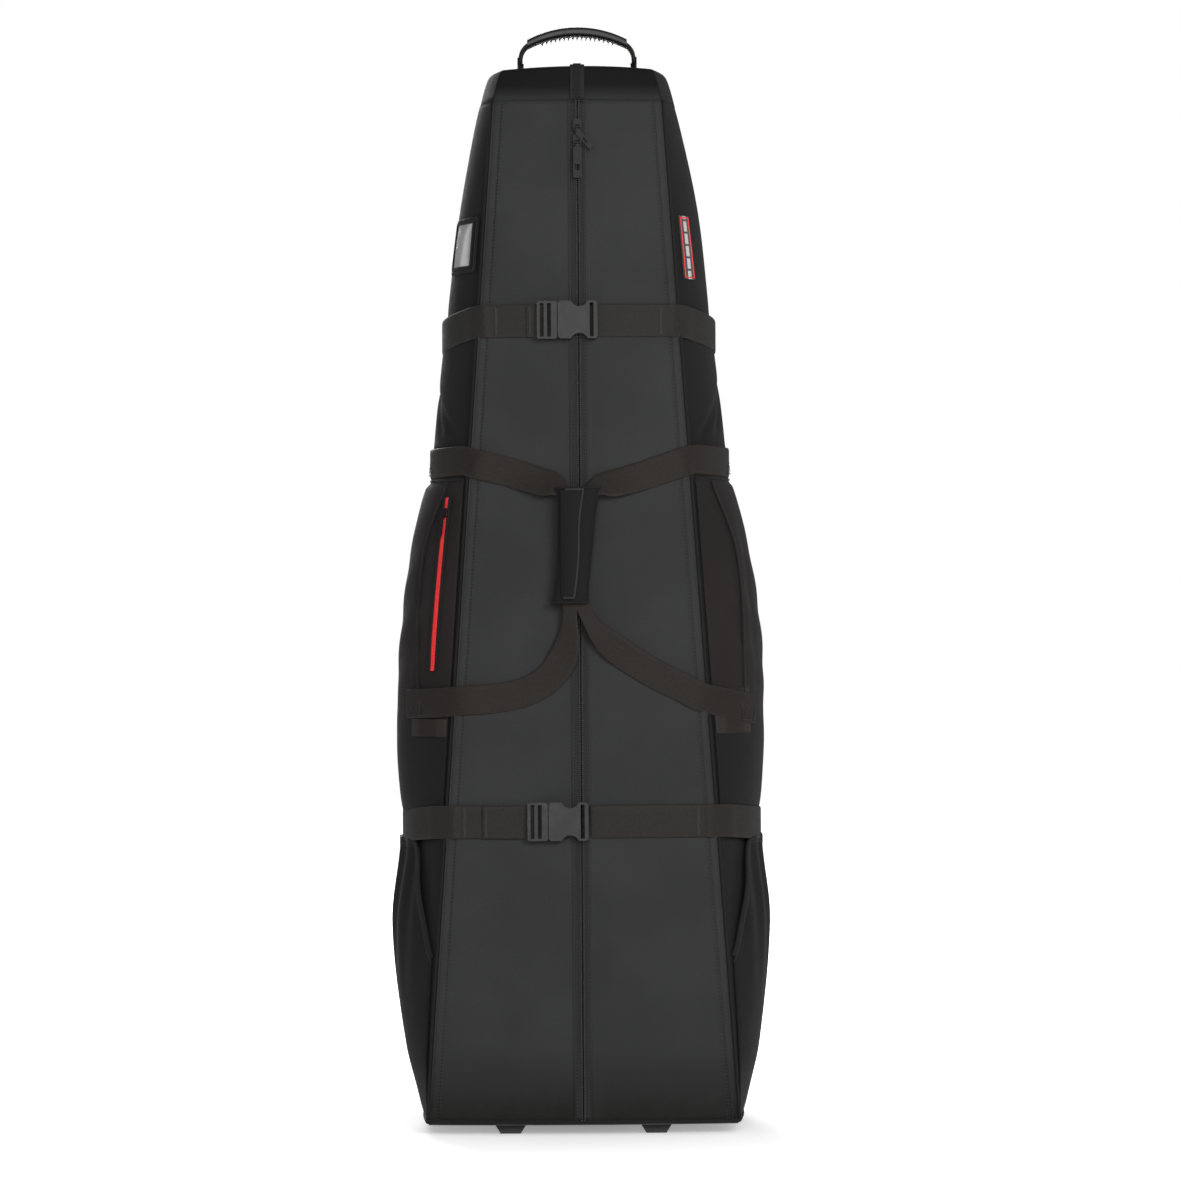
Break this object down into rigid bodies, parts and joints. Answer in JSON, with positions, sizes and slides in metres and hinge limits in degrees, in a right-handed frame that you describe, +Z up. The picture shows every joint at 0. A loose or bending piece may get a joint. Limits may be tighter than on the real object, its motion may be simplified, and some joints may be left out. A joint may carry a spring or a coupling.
{
  "type": "golf travel case",
  "caption": "Tall wheeled soft golf travel case with a zipped front, compression straps, side pockets, wrapped carry handles and a top grab handle.",
  "frame": {"origin": "on the floor under the middle of the case's overall box, case standing upright", "axes": "+Z up, the zipped front faces -Y, +X to the right of someone facing the front"},
  "size_m": [0.4448, 0.3401, 1.292],
  "materials": {
    "front_fabric": "matt coated polyester, charcoal",
    "side_fabric": "matt coated polyester, near black",
    "pocket_fabric": "matt coated polyester, warm black",
    "webbing": "ribbed woven webbing",
    "foam": "cloth covered foam",
    "board": "extruded stiffener sheet",
    "housing_plastic": "moulded, fine texture",
    "buckle_plastic": "moulded acetal, satin",
    "grip_rubber": "soft moulded rubber",
    "tyre_rubber": "satin polyurethane",
    "hub_plastic": "moulded nylon",
    "steel": "plain",
    "zip_tape": "woven tape with nylon coil",
    "red_zip": "red water-resistant zipper tape",
    "slider_metal": "black nickel",
    "window_vinyl": "frosted clear vinyl over a blank card",
    "badge": "woven badge with a red border"
  },
  "bodies": {
    "shell": {"base_panel": "side_fabric", "stiffener_boards": "board", "right_side_panel": "side_fabric", "left_side_panel": "side_fabric", "back_panel": "side_fabric", "hood": "front_fabric", "hood_pad": "foam", "hood_zip": "zip_tape", "front_feet": "housing_plastic", "base_screws": "steel", "wheel_axles": "steel", "left_wheel_housing": "housing_plastic", "right_wheel_housing": "housing_plastic", "right_shoe_pocket": "pocket_fabric", "left_shoe_pocket": "pocket_fabric", "right_lower_pocket": "side_fabric", "left_lower_pocket": "side_fabric", "pocket_zip_tape": "red_zip", "top_strap_sides": "webbing", "lower_strap_sides": "webbing", "carry_anchors": "webbing", "handle_anchors": "slider_metal", "card_holder": "side_fabric", "card_window": "window_vinyl", "badge": "badge", "tie_straps": "webbing", "tie_buckle": "buckle_plastic"},
    "right_door": {"right_front_panel": "front_fabric", "right_zip_tape": "zip_tape", "top_strap_right": "webbing", "top_buckle_socket": "buckle_plastic", "lower_strap_right": "webbing", "lower_buckle_socket": "buckle_plastic", "right_carry_web": "webbing", "carry_wrap": "front_fabric"},
    "left_door": {"left_front_panel": "front_fabric", "left_zip_tape": "zip_tape", "top_strap_left": "webbing", "top_buckle_frame": "buckle_plastic", "lower_strap_left": "webbing", "lower_buckle_frame": "buckle_plastic", "left_carry_web": "webbing"},
    "wrap_flap": {"wrap_flap": "front_fabric"},
    "lower_slider": {"lower_slider": "slider_metal"},
    "lower_pull": {"lower_pull": "slider_metal"},
    "upper_slider": {"upper_slider": "slider_metal"},
    "upper_pull": {"upper_pull": "slider_metal"},
    "pocket_slider": {"pocket_slider": "slider_metal"},
    "top_handle": {"top_handle_grip": "grip_rubber", "top_handle_legs": "webbing"},
    "left_wheel": {"left_tyre": "tyre_rubber", "left_hub": "hub_plastic", "left_bearings": "steel"},
    "right_wheel": {"right_tyre": "tyre_rubber", "right_hub": "hub_plastic", "right_bearings": "steel"},
    "top_buckle_upper_arm": {"top_buckle_upper_arm": "buckle_plastic"},
    "top_buckle_lower_arm": {"top_buckle_lower_arm": "buckle_plastic"},
    "lower_buckle_upper_arm": {"lower_buckle_upper_arm": "buckle_plastic"},
    "lower_buckle_lower_arm": {"lower_buckle_lower_arm": "buckle_plastic"}
  },
  "joints": [
    {"name": "front_opening_right", "type": "hinge", "parent": "shell", "child": "right_door", "pos_m": [0.1784, -0.158, 0.012], "axis": [-0.0676, 0.0631, 0.9957], "range_deg": [0, 105], "deforming": ["left_carry_web", "top_buckle_upper_arm", "top_buckle_lower_arm", "lower_buckle_upper_arm", "lower_buckle_lower_arm"]},
    {"name": "front_opening_left", "type": "hinge", "parent": "shell", "child": "left_door", "pos_m": [-0.1784, -0.158, 0.012], "axis": [-0.0676, -0.0631, -0.9957], "range_deg": [0, 105]},
    {"name": "carry_wrap_flap", "type": "hinge", "parent": "right_door", "child": "wrap_flap", "pos_m": [-0.023, -0.15625, 0.67993], "axis": [0, -0.0632, -0.998], "range_deg": [0, 120]},
    {"name": "lower_slider_run", "type": "slide", "parent": "right_door", "child": "lower_slider", "axis": [0, -0.0632, -0.998], "range_m": [0, 0.125]},
    {"name": "lower_pull_swing", "type": "hinge", "parent": "lower_slider", "child": "lower_pull", "pos_m": [0, -0.10441, 1.14552], "axis": [-1, 0, 0], "range_deg": [0, 150]},
    {"name": "upper_slider_run", "type": "slide", "parent": "right_door", "child": "upper_slider", "axis": [0, 0.0632, 0.998], "range_m": [0, 0.016]},
    {"name": "upper_pull_swing", "type": "hinge", "parent": "upper_slider", "child": "upper_pull", "pos_m": [0, -0.10327, 1.16352], "axis": [-1, 0, 0], "range_deg": [0, 150]},
    {"name": "top_handle_swing", "type": "hinge", "parent": "shell", "child": "top_handle", "pos_m": [0, 0.03, 1.2453], "axis": [1, 0, 0], "range_deg": [-70, 70], "stiffness_Nm_per_rad": 0.2},
    {"name": "left_wheel_spin", "type": "hinge", "parent": "shell", "child": "left_wheel", "pos_m": [-0.085, 0.132, 0.038], "axis": [1, 0, 0], "continuous": true},
    {"name": "right_wheel_spin", "type": "hinge", "parent": "shell", "child": "right_wheel", "pos_m": [0.085, 0.132, 0.038], "axis": [1, 0, 0], "continuous": true},
    {"name": "top_buckle_upper_arm_press", "type": "hinge", "parent": "left_door", "child": "top_buckle_upper_arm", "pos_m": [-0.0244, -0.11738, 0.94878], "axis": [0, 0.998, -0.0632], "range_deg": [0, 5], "stiffness_Nm_per_rad": 0.6},
    {"name": "top_buckle_lower_arm_press", "type": "hinge", "parent": "left_door", "child": "top_buckle_lower_arm", "pos_m": [-0.0244, -0.11867, 0.92832], "axis": [0, -0.998, 0.0632], "range_deg": [0, 5], "stiffness_Nm_per_rad": 0.6},
    {"name": "lower_buckle_upper_arm_press", "type": "hinge", "parent": "left_door", "child": "lower_buckle_upper_arm", "pos_m": [-0.0384, -0.15405, 0.36978], "axis": [0, 0.998, -0.0632], "range_deg": [0, 5], "stiffness_Nm_per_rad": 0.6},
    {"name": "lower_buckle_lower_arm_press", "type": "hinge", "parent": "left_door", "child": "lower_buckle_lower_arm", "pos_m": [-0.0384, -0.15535, 0.34932], "axis": [0, -0.998, 0.0632], "range_deg": [0, 5], "stiffness_Nm_per_rad": 0.6},
    {"name": "pocket_slider_run", "type": "slide", "parent": "shell", "child": "pocket_slider", "axis": [-0.1096, -0.0771, -0.991], "range_m": [0, 0.055]}
  ],
  "couplings": [
    {"joint": "front_opening_left", "follows": "front_opening_right", "ratio": 1},
    {"joint": "top_buckle_lower_arm_press", "follows": "top_buckle_upper_arm_press", "ratio": 1},
    {"joint": "lower_buckle_lower_arm_press", "follows": "lower_buckle_upper_arm_press", "ratio": 1}
  ]
}
